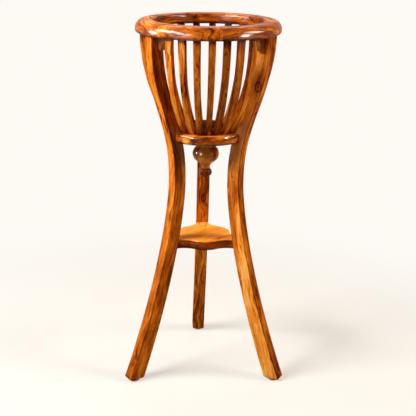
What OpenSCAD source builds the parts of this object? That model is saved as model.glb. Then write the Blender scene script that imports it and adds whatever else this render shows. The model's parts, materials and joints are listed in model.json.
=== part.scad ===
// Three-legged plant stand with a slatted basket, in varnished hardwood.
// Millimetres, +Z up. The origin is on the floor, under the middle of the ring.
// The front is -Y: seven slats face it between the two legs that rise to the ring.
// The rear leg, at +Y, ends under the basket's base, and fourteen slats close the back.

/* [Overall] */
// Height from the floor to the top of the ring
stand_h = 900; // [820:5:980]
// Clearance round each tenon, dowel and housing
fit = 0.15; // [0.05:0.05:0.3]

/* [Ring] */
// Outer diameter of the ring
ring_d = 350; // [330:1:380]
// Width of the ring, from the hole for the pot to the outer edge
ring_w = 44.5; // [41:0.5:48]
// Thickness of the ring
ring_t = 30; // [28:0.5:34]
// Depth of the rebate under the ring, which takes the tops of the legs and slats
rebate_d = 7; // [4:0.5:8]
// Space between the legs and the lip outside the rebate
rebate_gap = 1; // [0.5:0.25:2]
// Rounding of the upper outer edge of the ring
ring_top_round = 19.5; // [4:0.5:20]
// Rounding of the lower outer edge of the ring
ring_low_round = 5.5; // [2:0.5:7.5]
// Rounding of the upper edge of the hole
hole_top_round = 7; // [2:0.5:10]
// Rounding of the lower edge of the hole
hole_low_round = 6; // [2:0.5:8]
// Angle from a leg to the nearest joint between ring segments
ring_joint_turn = 7; // [6.5:0.25:8]
// Length of the loose tongue in each ring joint
tongue_l = 24; // [16:1:30]
// Width of the loose tongue across the ring
tongue_w = 27; // [20:1:30]
// Thickness of the loose tongue
tongue_t = 5; // [3:0.5:6]
// Wood left between a leg's tenon and the tongue above it
tongue_lift = 2; // [1:0.5:3]

/* [Legs] */
// Width of a leg, square to its curve
leg_w = 31; // [26:0.5:34]
// How far the legs stand back from the ring's outer edge
leg_inset = 9; // [7.5:0.5:12]
// Depth of a leg under the ring
leg_top_depth = 32; // [29:0.5:34]
// Height of the waist, where the legs come closest together
waist_z = 505; // [440:5:560]
// Distance from the middle to the outer face of a leg at the waist
waist_r = 98.5; // [90:0.5:105]
// Depth of a leg at the waist
leg_waist_depth = 31; // [28:0.5:36]
// Distance from the middle to the outer face of a leg at the floor
foot_r = 228; // [190:1:250]
// Depth of a leg at the floor, measured level
leg_foot_depth = 40; // [32:0.5:44]
// How late a leg sweeps outwards below the waist (1 is a straight line)
leg_flare = 1.53; // [1.4:0.01:2]
// Chamfer round the bottom of each leg
foot_chamfer = 3; // [1:0.5:5]
// Depth of a leg's tenon across the ring
leg_tenon_depth = 15; // [10:0.5:17]
// Width of a leg's tenon along the ring
leg_tenon_w = 18; // [12:0.5:22]
// Height of a leg's tenon
leg_tenon_h = 11; // [8:0.5:12]
// How far the rear leg leans back in towards the middle above its waist
rear_lean = 14; // [12:0.5:20]
// Width of the rear leg's tenon in the base
rear_tenon_w = 14; // [10:0.5:15]
// Height of the rear leg's tenon in the base
rear_tenon_h = 12; // [8:0.5:14]
// How far every tenon is drawn down into its own piece
tenon_root = 2; // [1:0.5:4]

/* [Basket] */
// Height from the basket's base to the tops of the slats
basket_h = 242; // [225:1:265]
// Width of a slat at the ring
slat_w = 16.5; // [13:0.5:18]
// Width of a slat at the base
slat_foot_w = 13; // [11:0.5:14]
// Thickness of a slat
slat_t = 13; // [10:0.5:14]
// Distance from the ring's outer edge to the middle of a slat's top
slat_top_inset = 17.5; // [14.5:0.5:24]
// Distance from the base's edge to the middle of a slat's foot
slat_foot_inset = 26; // [24:0.5:29]
// Open space beside a leg at the ring, before the first slat
slat_top_gap = 37; // [30:1:46]
// How far the first slat's foot stands in front of the leg beside it
slat_foot_lap = 4; // [2:0.25:5]
// How much closer the feet of the back slats stand towards the legs (0.1 is even)
slat_back_ease = 0.5; // [0.1:0.05:0.65]
// Height of the ellipse that shapes the slats, against the basket's height
slat_sweep = 1.185; // [1.12:0.005:1.5]
// Side of the square tenons on the slats
slat_tenon = 7.5; // [5:0.5:8]
// Length of the slats' tenons
slat_tenon_l = 10; // [6:0.5:11]

/* [Base] */
// Thickness of the basket's base
base_t = 24; // [20:0.5:28]
// How deep the base is let into the legs
base_let_in = 18; // [14:0.5:20]
// Rounding of the base's upper edge
base_top_round = 6; // [2:0.5:8]
// Rounding of the base's lower edge
base_low_round = 7.5; // [2:0.5:11]
// Diameter of the dowels between the legs and the base
base_dowel_d = 8; // [5:0.5:10]
// Length of those dowels
base_dowel_l = 24; // [20:1:27]

/* [Finial] */
// Diameter of the collar under the base
collar_d = 45; // [40:0.5:56]
// Height of the collar
collar_h = 21.5; // [12:0.5:28]
// Diameter of the large bulb
bulb_d = 66; // [50:1:80]
// Height of the whole bulb, before its ends are cut
bulb_h = 52; // [44:1:64]
// Diameter of the lip under the bulb
lip_d = 30; // [26:0.5:36]
// Thickness of the lip
lip_h = 3; // [2:0.25:5]
// Diameter of the neck
neck_d = 19; // [15:0.5:24]
// Height from the lip to the end of the neck
neck_h = 11; // [8:0.5:16]
// Diameter of the small ball at the tip
tip_d = 32; // [26:0.5:38]
// Height of the small ball
tip_h = 26; // [20:0.5:32]
// Diameter of the finial's tenon in the base
finial_tenon_d = 18; // [12:0.5:24]
// Length of the finial's tenon
finial_tenon_l = 15; // [10:0.5:18]
// Diameter of the spigot on the tip
spigot_d = 8; // [5:0.5:12]
// Length of the spigot
spigot_l = 12; // [8:0.5:18]

/* [Shelf] */
// Height of the top of the shelf
shelf_z = 361; // [300:1:420]
// Thickness of the shelf
shelf_t = 23; // [16:0.5:26]
// Distance from the middle to the fullest point of each side
shelf_reach = 69; // [64:0.5:76]
// Width of the bowed middle of each side
shelf_bow_w = 56; // [44:1:64]
// Rise of that bow
shelf_bow_rise = 9; // [4:0.5:12]
// Hollow of the coves beside the bow
shelf_cove = 4; // [2:0.25:6]
// Width of the shelf where it meets a leg
shelf_arm_w = 28; // [20:0.5:30]
// How deep the shelf is let into the legs
shelf_let_in = 10; // [6:0.5:12]
// Diameter of the dowels between the shelf and the legs
shelf_dowel_d = 8; // [5:0.5:10]
// Length of those dowels
shelf_dowel_l = 30; // [20:1:34]

/* [Corner blocks] */
// Height of the blocks beside the tops of the side legs, below the ring
block_h = 31; // [20:1:36]
// Width of a block, measured along the leg's side
block_w = 12; // [12:0.5:16]
// Thickness of a block
block_t = 10; // [8:0.5:13]
// How far a block stands back from the leg's inner face
block_setback = 1; // [0.5:0.25:2]
// Diameter of the block screws
screw_d = 3; // [2.5:0.25:3.5]
// Diameter of their heads
screw_head_d = 5.5; // [4.5:0.5:6]
// Length of a screw beyond the block
screw_bite = 10; // [8:0.5:11]

/* [Glides] */
// Diameter of the floor glides
glide_d = 25; // [18:0.5:28]
// Height of a glide
glide_h = 5; // [3.5:0.5:7]
// Chamfer round the bottom of a glide
glide_chamfer = 1; // [0.5:0.25:1.5]
// Diameter of a glide's nail
nail_d = 2.8; // [2:0.2:4]
// Diameter of the nail's head
nail_head_d = 7; // [5:0.5:9]
// Thickness of the nail's head
nail_head_h = 1.2; // [0.8:0.1:2]
// Height of the nail's head above the floor, at its inner face
nail_recess = 2; // [1.5:0.1:3]
// Length of a nail inside the leg
nail_bite = 20; // [12:1:30]

/* [Hidden] */
SLATS = 7;
SEGMENTS = 6;
LEG_STEPS = 44;
SLAT_STEPS = 24;
ARC_STEPS = 14;
ring_r = ring_d / 2;
hole_r = ring_r - ring_w;
ring_z = stand_h - ring_t;
seat_z = ring_z + rebate_d;
leg_top_r = ring_r - leg_inset;
rebate_r = max(leg_top_r, ring_r - slat_top_inset + slat_t / 2) + rebate_gap;
leg_tenon_r = leg_top_r - leg_top_depth / 2;
rear_tenon_r = waist_r - leg_waist_depth / 2 - rear_lean;
base_z = seat_z - basket_h;
base_mid_z = base_z - base_t / 2;
base_low_z = base_z - base_t;
base_r = leg_in_r(base_mid_z) + base_let_in;
slat_top_r = ring_r - slat_top_inset;
slat_foot_r = base_r - slat_foot_inset;
slat_top_clear = asin(((leg_w + slat_w) / 2 + slat_top_gap) / slat_top_r);
slat_foot_clear = asin(((leg_w + slat_foot_w) / 2 - slat_foot_lap) / slat_foot_r);
slat_top_step = (60 - slat_top_clear) / (SLATS - 1) * 2;
slat_foot_step = (60 - slat_foot_clear) / (SLATS - 1) * 2;
back_top_step = (120 - slat_top_clear) / (SLATS - 0.5);
back_foot_reach = (120 - slat_foot_clear) / sin(slat_back_ease * (120 - slat_top_clear));
slat_curve_h = basket_h * slat_sweep;
tongue_z = seat_z + leg_tenon_h + tongue_lift + tongue_t / 2;
tongue_r = (hole_r + ring_r) / 2;
shelf_low_z = shelf_z - shelf_t;
shelf_mid_z = shelf_z - shelf_t / 2;
shelf_end_r = leg_in_r(shelf_z) + shelf_let_in;
block_low_z = ring_z - block_h;
block_r = leg_in_r(seat_z) + block_setback;
bulb_top_z = base_low_z - collar_h;
glide_r = (leg_out_r(glide_h) + leg_in_r(glide_h)) / 2;
wood_light = "#c8761f";
wood_mid = "#a85a17";
wood_dark = "#7d3d0e";

// Angles about the middle: legs 0, 1 and 2 are rear, left and right,
// and sides 0, 1 and 2 of the shelf face the front, the right and the left.
function leg_angle(i) = 90 + 120 * i;
function side_angle(side) = 120 * side - 90;
function joint_angle(k) = leg_angle(0) + ring_joint_turn + 360 / SEGMENTS * k;
function on_circle(r, angle) = [r * cos(angle), r * sin(angle)];

// A soft S from 0 to 1, level at both ends.
function s_curve(t) = t * t * t * (t * (6 * t - 15) + 10);

// Radius of a leg's face at height z: an S-curve above the waist, a flare below it.
function face_r(z, top, waist, foot) =
    z > waist_z
    ? waist + (top - waist) * s_curve((z - waist_z) / (seat_z - waist_z))
    : waist + (foot - waist) * pow((waist_z - z) / waist_z, leg_flare);
function leg_out_r(z) = face_r(z, leg_top_r, waist_r, foot_r);
function leg_in_r(z) =
    face_r(z, leg_top_r - leg_top_depth, waist_r - leg_waist_depth, foot_r - leg_foot_depth);

// Points from p to q along an arc that rises by rise to the right of the way.
function bow(p, q, rise) =
    let (
        chord = norm(q - p),
        r = (chord * chord / 4 + rise * rise) / (2 * abs(rise)),
        half = asin(chord / 2 / r),
        along = (q - p) / chord,
        side = [along[1], -along[0]] * sign(rise)
    )
    [for (i = [0 : ARC_STEPS])
        let (a = half * (2 * i / ARC_STEPS - 1))
        (p + q) / 2 + along * r * sin(a) + side * (r * cos(a) - r * cos(half))];

// Section of a turned rim from radius r0 to r1: corners rounded by four true arcs.
module rim_section(r0, r1, z0, z1, in_low, out_low, out_top, in_top) {
    polygon([
        [r0 + in_low, z0], [r1 - out_low, z0], [r1, z0 + out_low], [r1, z1 - out_top],
        [r1 - out_top, z1], [r0 + in_top, z1], [r0, z1 - in_top], [r0, z0 + in_low]
    ]);
    rim_corner(r0 + in_low, z0 + in_low, in_low, 180);
    rim_corner(r1 - out_low, z0 + out_low, out_low, 270);
    rim_corner(r1 - out_top, z1 - out_top, out_top, 0);
    rim_corner(r0 + in_top, z1 - in_top, in_top, 90);
}

// A quarter of a disc, the corner of the section of a rim.
module rim_corner(x, z, r, turn) {
    translate([x, z])
        rotate(turn)
            intersection() {
                circle(r = r, $fn = 48);
                square(r);
            }
}

// The rebate under the ring, up to the rounded lower edge of the hole.
module rebate_section() {
    translate([hole_r - 1, ring_z - 1])
        square([rebate_r - hole_r + 1, rebate_d + 1]);
    difference() {
        translate([hole_r - 1, seat_z - 1])
            square(hole_low_round + 1);
        translate([hole_r + hole_low_round, seat_z + hole_low_round])
            circle(r = hole_low_round, $fn = 48);
    }
}

module ring_section() {
    difference() {
        rim_section(hole_r, ring_r, ring_z, stand_h, 1, ring_low_round, ring_top_round, hole_top_round);
        rebate_section();
    }
}

// A loose tongue across ring joint k; grow widens it into its slot.
module tongue(k, grow = 0) {
    rotate(joint_angle(k))
        translate([tongue_r, 0, tongue_z])
            cube([tongue_w, tongue_l, tongue_t] + [2, 2, 2] * grow, center = true);
}

// Tenon on the top of leg i; grow widens it into its mortise.
module leg_tenon(i, grow = 0) {
    rotate(leg_angle(i))
        translate([leg_tenon_r, 0, seat_z + (leg_tenon_h - tenon_root) / 2])
            cube(
                [leg_tenon_depth, leg_tenon_w, leg_tenon_h + tenon_root] + [2, 2, 2] * grow,
                center = true
            );
}

// Rows 0, 1 and 2 of slats stand in front, back right and back left. The back slats are
// evenly spaced at the ring, on both sides of the rear leg, and their feet ease together.
function back_turn(row, s) = row == 1 ? s - SLATS - 0.5 : s - 0.5;
function slat_top_angle(row, s) =
    row == 0
    ? -90 + (s - (SLATS + 1) / 2) * slat_top_step
    : 90 + back_turn(row, s) * back_top_step;
function slat_foot_angle(row, s) =
    row == 0
    ? -90 + (s - (SLATS + 1) / 2) * slat_foot_step
    : 90 + back_foot_reach * sin(slat_back_ease * back_turn(row, s) * back_top_step);
function slat_top(row, s) = on_circle(slat_top_r, slat_top_angle(row, s));
function slat_foot(row, s) = on_circle(slat_foot_r, slat_foot_angle(row, s));
function slat_reach(row, s) = norm(slat_top(row, s) - slat_foot(row, s));

// Moves to the foot of slat s in a row, with +X towards the same slat's top.
module at_slat(row, s) {
    foot = slat_foot(row, s);
    way = slat_top(row, s) - foot;
    translate([foot[0], foot[1], 0])
        rotate(atan2(way[1], way[0]))
            children();
}

// A slat's middle line is part of an ellipse that stands upright at the ring:
// lean is 1 - its share of the ellipse's radius, and slope is the way it leans.
function slat_lean(z) = 1 - sqrt(1 - pow((seat_z - z) / slat_curve_h, 2));
function slat_share(z) = 1 - slat_lean(z) / slat_lean(base_z);
function slat_slope(z, reach) =
    reach / slat_lean(base_z) * (seat_z - z) / pow(slat_curve_h, 2) / (1 - slat_lean(z));
function slat_edge(z, reach, side) =
    reach * slat_share(z) + side * slat_t / 2 * sqrt(1 + pow(slat_slope(z, reach), 2));

module slat_outline(reach) {
    up = [for (i = [0 : SLAT_STEPS]) base_z + basket_h * i / SLAT_STEPS];
    down = [for (i = [SLAT_STEPS : -1 : 0]) base_z + basket_h * i / SLAT_STEPS];
    polygon(concat(
        [for (z = up) [slat_edge(z, reach, 1), z]],
        [for (z = down) [slat_edge(z, reach, -1), z]]
    ));
}

// Front view of a slat: it tapers from the ring to the base.
module slat_front_outline() {
    polygon([
        [-slat_foot_w / 2, base_z], [slat_foot_w / 2, base_z],
        [slat_w / 2, seat_z], [-slat_w / 2, seat_z]
    ]);
}

module slat_tenon_at(x, z, grow) {
    translate([x, 0, z])
        cube([slat_tenon, slat_tenon, slat_tenon_l + tenon_root] + [2, 2, 2] * grow, center = true);
}

// The upper and lower tenons of a slat; grow widens them into their mortises.
module slat_top_tenon(row, s, grow = 0) {
    at_slat(row, s)
        slat_tenon_at(slat_reach(row, s), seat_z + (slat_tenon_l - tenon_root) / 2, grow);
}

module slat_foot_tenon(row, s, grow = 0) {
    at_slat(row, s)
        slat_tenon_at(0, base_z - (slat_tenon_l - tenon_root) / 2, grow);
}

module slat(row, s) {
    color(s < 4 ? wood_light : wood_mid) {
        at_slat(row, s)
            intersection() {
                rotate([90, 0, 0])
                    linear_extrude(slat_w + 2, center = true)
                        slat_outline(slat_reach(row, s));
                translate([-slat_t, 0, 0])
                    rotate([90, 0, 90])
                        linear_extrude(slat_reach(row, s) + 2 * slat_t)
                            slat_front_outline();
            }
        slat_top_tenon(row, s);
        slat_foot_tenon(row, s);
    }
}

module ring_segment(k) {
    color(k % 2 == 0 ? wood_light : wood_mid)
        difference() {
            rotate(joint_angle(k))
                rotate_extrude(angle = 360 / SEGMENTS, $fn = 180)
                    ring_section();
            tongue(k, fit);
            tongue(k + 1, fit);
            for (i = [1, 2]) {
                leg_tenon(i, fit);
                block_screw_up(i, fit);
            }
            for (row = [0 : 2], s = [1 : SLATS])
                slat_top_tenon(row, s, fit);
        }
}

module ring_tongues() {
    color(wood_dark)
        for (k = [0 : SEGMENTS - 1])
            tongue(k);
}

// How far leg i leans back in at height z: only the rear leg does, above its waist.
function leg_lean(i, z) =
    i == 0 && z > waist_z ? rear_lean * s_curve((z - waist_z) / (base_low_z - waist_z)) : 0;
function leg_far(i, z) = i == 0 ? leg_out_r(min(z, waist_z)) - leg_lean(i, z) : leg_out_r(z);
function leg_near(i, z) = i == 0 ? leg_in_r(min(z, waist_z)) - leg_lean(i, z) : leg_in_r(z);
function leg_end_z(i) = i == 0 ? base_low_z : seat_z;

// Side view of leg i, sawn to its curves, with the chamfer at its foot.
module leg_outline(i) {
    low = glide_h + foot_chamfer;
    rise = leg_end_z(i) - low;
    up = [for (k = [0 : LEG_STEPS]) low + rise * k / LEG_STEPS];
    down = [for (k = [LEG_STEPS : -1 : 0]) low + rise * k / LEG_STEPS];
    polygon(concat(
        [[leg_far(i, glide_h) - foot_chamfer, glide_h]],
        [for (z = up) [leg_far(i, z), z]],
        [for (z = down) [leg_near(i, z), z]],
        [[leg_near(i, glide_h) + foot_chamfer, glide_h]]
    ));
}

// Front view of leg i, with the same chamfer on the other two edges of its foot.
module leg_front_outline(i) {
    half = leg_w / 2;
    polygon([
        [-half + foot_chamfer, glide_h], [half - foot_chamfer, glide_h],
        [half, glide_h + foot_chamfer], [half, leg_end_z(i)],
        [-half, leg_end_z(i)], [-half, glide_h + foot_chamfer]
    ]);
}

module leg_body(i) {
    rotate(leg_angle(i))
        intersection() {
            rotate([90, 0, 0])
                linear_extrude(leg_w + 2, center = true)
                    leg_outline(i);
            rotate([90, 0, 90])
                linear_extrude(foot_r + ring_r)
                    leg_front_outline(i);
        }
}

// The left and right legs: tenoned into the ring, with a housing for the base.
module side_leg(i) {
    color(i == 1 ? wood_light : wood_mid)
        difference() {
            union() {
                leg_body(i);
                leg_tenon(i);
            }
            base_body(fit);
            shelf_arm(i, fit);
            base_dowel(i, fit);
            shelf_dowel(i, fit);
            block_screw_side(i, fit);
            glide_nail(i, fit);
        }
}

// The rear leg: tenoned up into the underside of the base.
module rear_leg() {
    color(wood_mid)
        difference() {
            union() {
                leg_body(0);
                rear_tenon();
            }
            shelf_arm(0, fit);
            shelf_dowel(0, fit);
            glide_nail(0, fit);
        }
}

module rear_tenon(grow = 0) {
    rotate(leg_angle(0))
        translate([rear_tenon_r, 0, base_low_z + (rear_tenon_h - tenon_root) / 2])
            cube(
                [leg_tenon_depth, rear_tenon_w, rear_tenon_h + tenon_root] + [2, 2, 2] * grow,
                center = true
            );
}

// The round base of the basket; grow widens it into its housings in the legs.
module base_body(grow = 0) {
    rotate_extrude($fn = 180)
        difference() {
            rim_section(
                -base_r - grow, base_r + grow, base_low_z - grow, base_z + grow,
                base_low_round, base_low_round, base_top_round, base_top_round
            );
            translate([-2 * base_r, base_low_z - base_t])
                square([2 * base_r, 3 * base_t]);
        }
}

// A level dowel into leg i at height z: a third of it is in the leg, past radius r.
module level_dowel(i, r, z, d, l, grow) {
    rotate(leg_angle(i))
        translate([r - l * 2 / 3 - grow, 0, z])
            rotate([0, 90, 0])
                cylinder(d = d + 2 * grow, h = l + 2 * grow, $fn = 40);
}

module base_dowel(i, grow = 0) {
    level_dowel(i, base_r, base_mid_z, base_dowel_d, base_dowel_l, grow);
}

module shelf_dowel(i, grow = 0) {
    level_dowel(i, shelf_end_r, shelf_mid_z, shelf_dowel_d, shelf_dowel_l, grow);
}

module basket_base() {
    color(wood_light)
        difference() {
            base_body();
            for (row = [0 : 2], s = [1 : SLATS])
                slat_foot_tenon(row, s, fit);
            for (i = [1, 2])
                base_dowel(i, fit);
            rear_tenon(fit);
            finial_tenon(fit);
        }
}

module base_dowels() {
    color(wood_dark)
        for (i = [1, 2])
            base_dowel(i);
}

module finial_tenon(grow = 0) {
    translate([0, 0, base_low_z - tenon_root])
        cylinder(d = finial_tenon_d + 2 * grow, h = finial_tenon_l + tenon_root + grow, $fn = 60);
}

// The bulb is an ellipse that the collar and the lip cut; bulb_cut gives the height
// above or below its middle where it has the diameter d.
function bulb_cut(d) = bulb_h / 2 * sqrt(1 - pow(d / bulb_d, 2));
bulb_z = bulb_top_z - bulb_cut(collar_d);
lip_z = bulb_z - bulb_cut(lip_d);
neck_z = lip_z - lip_h - neck_h;
tip_z = neck_z - tip_h / 2 * sqrt(1 - pow(neck_d / tip_d, 2));

module finial_bulb() {
    top_angle = acos(collar_d / bulb_d);
    low_angle = -acos(lip_d / bulb_d);
    sweep = low_angle - top_angle;
    color(wood_mid)
        difference() {
            union() {
                rotate_extrude($fn = 96)
                    polygon(concat(
                        [[0, base_low_z], [collar_d / 2, base_low_z]],
                        [for (i = [0 : 2 * ARC_STEPS])
                            let (a = top_angle + sweep * i / (2 * ARC_STEPS))
                            [bulb_d / 2 * cos(a), bulb_z + bulb_h / 2 * sin(a)]],
                        bow([lip_d / 2, lip_z - lip_h], [neck_d / 2, neck_z], -neck_h / 5),
                        [[0, neck_z]]
                    ));
                finial_tenon();
            }
            tip_spigot(fit);
        }
}

module tip_spigot(grow = 0) {
    translate([0, 0, neck_z - tenon_root])
        cylinder(d = spigot_d + 2 * grow, h = spigot_l + tenon_root + grow, $fn = 40);
}

module finial_tip() {
    top_angle = acos(neck_d / tip_d);
    sweep = -90 - top_angle;
    color(wood_mid) {
        rotate_extrude($fn = 96)
            polygon(concat(
                [[0, neck_z]],
                [for (i = [0 : 2 * ARC_STEPS])
                    let (a = top_angle + sweep * i / (2 * ARC_STEPS))
                    [tip_d / 2 * cos(a), tip_z + tip_h / 2 * sin(a)]]
            ));
        tip_spigot();
    }
}

// Outline of one side of the shelf, drawn for the side that faces +X:
// from one arm's corner by a cove, a bow and a cove to the next arm's corner.
function shelf_side() =
    let (
        end = shelf_end_r,
        half = shelf_arm_w / 2,
        low = on_circle(end, -60) + on_circle(half, 30),
        cusp = [shelf_reach - shelf_bow_rise, shelf_bow_w / 2],
        neck = low - on_circle(shelf_let_in, -60)
    )
    concat(
        [low],
        bow(neck, [cusp[0], -cusp[1]], -shelf_cove),
        bow([cusp[0], -cusp[1]], cusp, shelf_bow_rise),
        bow(cusp, [neck[0], -neck[1]], -shelf_cove),
        [[low[0], -low[1]]]
    );
function turned(points, angle) =
    [for (p = points) [p[0] * cos(angle) - p[1] * sin(angle), p[0] * sin(angle) + p[1] * cos(angle)]];

module shelf() {
    color(wood_light)
        difference() {
            translate([0, 0, shelf_low_z])
                linear_extrude(shelf_t)
                    polygon([for (side = [0 : 2]) each turned(shelf_side(), side_angle(side))]);
            for (i = [0 : 2])
                shelf_dowel(i, fit);
        }
}

// The end of the shelf at leg i; grow widens it into its housing in the leg.
module shelf_arm(i, grow = 0) {
    rotate(leg_angle(i))
        translate([0, -shelf_arm_w / 2 - grow, shelf_low_z - grow])
            cube([shelf_end_r + grow, shelf_arm_w + 2 * grow, shelf_t + 2 * grow]);
}

module shelf_dowels() {
    color(wood_dark)
        for (i = [0 : 2])
            shelf_dowel(i);
}

// Moves to the inner lower corner of leg i's block, with +X out along the leg's side
// and +Y away from it, towards the front row of slats.
module at_block(i) {
    rotate(leg_angle(i))
        mirror([0, i - 1, 0])
            translate([block_r, leg_w / 2 + fit, block_low_z])
                children();
}

module corner_block(i) {
    color("#b98a55")
        difference() {
            at_block(i)
                cube([block_w, block_t, block_h + rebate_d]);
            block_screw_up(i, fit);
            block_screw_side(i, fit);
        }
}

// A countersunk screw along +Z, with the flat of its head at 0.
module wood_screw(l, grow) {
    translate([0, 0, -grow])
        cylinder(d = screw_d + 2 * grow, h = l + 2 * grow, $fn = 30);
    translate([0, 0, -grow])
        cylinder(
            d1 = screw_head_d + 2 * grow, d2 = screw_d + 2 * grow,
            h = (screw_head_d - screw_d) / 2 + grow, $fn = 30
        );
}

// Two screws hold each block: one goes up into the ring, one sideways into the leg.
module block_screw_up(i, grow = 0) {
    at_block(i)
        translate([block_w * 0.3, block_t / 2, 0])
            wood_screw(block_h + rebate_d + screw_bite, grow);
}

module block_screw_side(i, grow = 0) {
    at_block(i)
        translate([block_w * 0.7, block_t, block_h / 2])
            rotate([90, 0, 0])
                wood_screw(block_t + screw_bite, grow);
}

module block_screws() {
    color("#b9a24a")
        for (i = [1, 2]) {
            block_screw_up(i);
            block_screw_side(i);
        }
}

// A round glide under leg i, dished for the head of its nail.
module glide(i) {
    color("#1a1a1a")
        difference() {
            rotate(leg_angle(i))
                translate([glide_r, 0, 0]) {
                    cylinder(
                        d1 = glide_d - 2 * glide_chamfer, d2 = glide_d, h = glide_chamfer, $fn = 60
                    );
                    translate([0, 0, glide_chamfer])
                        cylinder(d = glide_d, h = glide_h - glide_chamfer, $fn = 60);
                }
            glide_nail(i, fit);
            rotate(leg_angle(i))
                translate([glide_r, 0, -1])
                    cylinder(d = nail_head_d + 2 * fit, h = nail_recess + 1, $fn = 40);
        }
}

module glide_nail(i, grow = 0) {
    rotate(leg_angle(i))
        translate([glide_r, 0, nail_recess]) {
            cylinder(d = nail_d + 2 * grow, h = glide_h - nail_recess + nail_bite + grow, $fn = 30);
            translate([0, 0, -nail_head_h])
                cylinder(d = nail_head_d, h = nail_head_h, $fn = 40);
        }
}

module glide_nails() {
    color("#9a9a9a")
        for (i = [0 : 2])
            glide_nail(i);
}

ring_segment(0);  // ring_segment_1
ring_segment(1);  // ring_segment_2
ring_segment(2);  // ring_segment_3
ring_segment(3);  // ring_segment_4
ring_segment(4);  // ring_segment_5
ring_segment(5);  // ring_segment_6
ring_tongues();
rear_leg();  // leg_rear
side_leg(1);  // leg_left
side_leg(2);  // leg_right
slat(0, 1);  // slat_front_1
slat(0, 2);  // slat_front_2
slat(0, 3);  // slat_front_3
slat(0, 4);  // slat_front_4
slat(0, 5);  // slat_front_5
slat(0, 6);  // slat_front_6
slat(0, 7);  // slat_front_7
slat(1, 1);  // slat_right_1
slat(1, 2);  // slat_right_2
slat(1, 3);  // slat_right_3
slat(1, 4);  // slat_right_4
slat(1, 5);  // slat_right_5
slat(1, 6);  // slat_right_6
slat(1, 7);  // slat_right_7
slat(2, 1);  // slat_left_1
slat(2, 2);  // slat_left_2
slat(2, 3);  // slat_left_3
slat(2, 4);  // slat_left_4
slat(2, 5);  // slat_left_5
slat(2, 6);  // slat_left_6
slat(2, 7);  // slat_left_7
basket_base();
base_dowels();
finial_bulb();
finial_tip();
shelf();
shelf_dowels();
corner_block(1);  // corner_block_left
corner_block(2);  // corner_block_right
block_screws();
glide(0);  // glide_rear
glide(1);  // glide_left
glide(2);  // glide_right
glide_nails();
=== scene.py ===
import json
import math

import bpy
import numpy as np
from mathutils import Matrix


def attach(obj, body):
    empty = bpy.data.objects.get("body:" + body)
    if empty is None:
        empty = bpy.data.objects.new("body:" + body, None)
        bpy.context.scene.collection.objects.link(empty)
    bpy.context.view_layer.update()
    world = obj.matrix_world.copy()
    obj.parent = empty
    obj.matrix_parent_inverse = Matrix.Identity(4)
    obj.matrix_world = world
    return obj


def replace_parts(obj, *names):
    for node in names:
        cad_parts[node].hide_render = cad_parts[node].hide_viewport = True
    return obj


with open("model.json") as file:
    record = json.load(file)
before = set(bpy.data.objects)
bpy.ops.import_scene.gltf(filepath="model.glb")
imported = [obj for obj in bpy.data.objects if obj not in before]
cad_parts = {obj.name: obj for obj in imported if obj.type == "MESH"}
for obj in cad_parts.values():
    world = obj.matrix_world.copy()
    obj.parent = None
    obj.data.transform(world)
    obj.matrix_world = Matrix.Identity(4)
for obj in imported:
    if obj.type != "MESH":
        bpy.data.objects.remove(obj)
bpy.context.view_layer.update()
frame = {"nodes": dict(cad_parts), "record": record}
nodes = frame["nodes"]
print("frame loaded:", len(nodes), "pieces")

# Overall sizes in metres, as the construction has them; the floor is z = 0.
stand = {
    "height": 0.9, "ringThickness": 0.030, "rebate": 0.007, "basketHeight": 0.242, "glideHeight": 0.005,
}
ringZ = stand["height"] - stand["ringThickness"]
seatZ = ringZ + stand["rebate"]
baseZ = seatZ - stand["basketHeight"]
legAngles = {"rear": 90, "left": 210, "right": 330}
hair = 0.0001  # a hair's breadth: keeps an edge crisp, and tells one level from the next


# Points turned about +Z by an angle in degrees: x' = x cos a - y sin a, y' = x sin a + y cos a.
def turned(points, angle):
    a = math.radians(angle)
    x, y, z = points[..., 0], points[..., 1], points[..., 2]
    return np.stack([x * math.cos(a) - y * math.sin(a), x * math.sin(a) + y * math.cos(a), z], -1)


# Level point at a radius and an angle in degrees: (r cos a, r sin a).
def polar(r, angle):
    return np.array([r * math.cos(math.radians(angle)), r * math.sin(math.radians(angle))])


# A smooth step from 0 at the value low to 1 at the value high: 3t^2 - 2t^3.
def easeStep(values, low, high):
    t = np.clip((values - low) / (high - low), 0, 1)
    return t * t * (3 - 2 * t)


# A still smoother step, by which the legs swing out and in: 6t^5 - 15t^4 + 10t^3.
def swing(t):
    return t ** 3 * (t * (6 * t - 15) + 10)


# How much lighter or darker than the rest the board is that a piece was sawn from.
boards = {
    "ring_segment_1": -0.02, "ring_segment_2": 0.05, "ring_segment_3": -0.01, "ring_segment_4": -0.03,
    "ring_segment_5": 0.03, "ring_segment_6": -0.02, "leg_rear": 0.0, "leg_right": 0.05,
    "leg_left": 0.02, "slat_front_1": 0.08, "slat_front_2": 0.08, "slat_front_4": -0.04,
    # finial_bulb's tone is painted light: lighter for the light that the base keeps off it
    "slat_front_6": 0.06, "slat_front_7": 0.08, "shelf": 0.10, "finial_bulb": 0.08, "finial_tip": -0.34,
}


# Tone of each point: its board's, plus painted shading for light and shade and darker arrises.
def boardToneAndShading(name, grid, paintedShading):
    board = next((shade for key, shade in boards.items() if name.startswith(key)), 0.0)
    return board + 0 * grid[..., 0] + paintedShading


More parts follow.
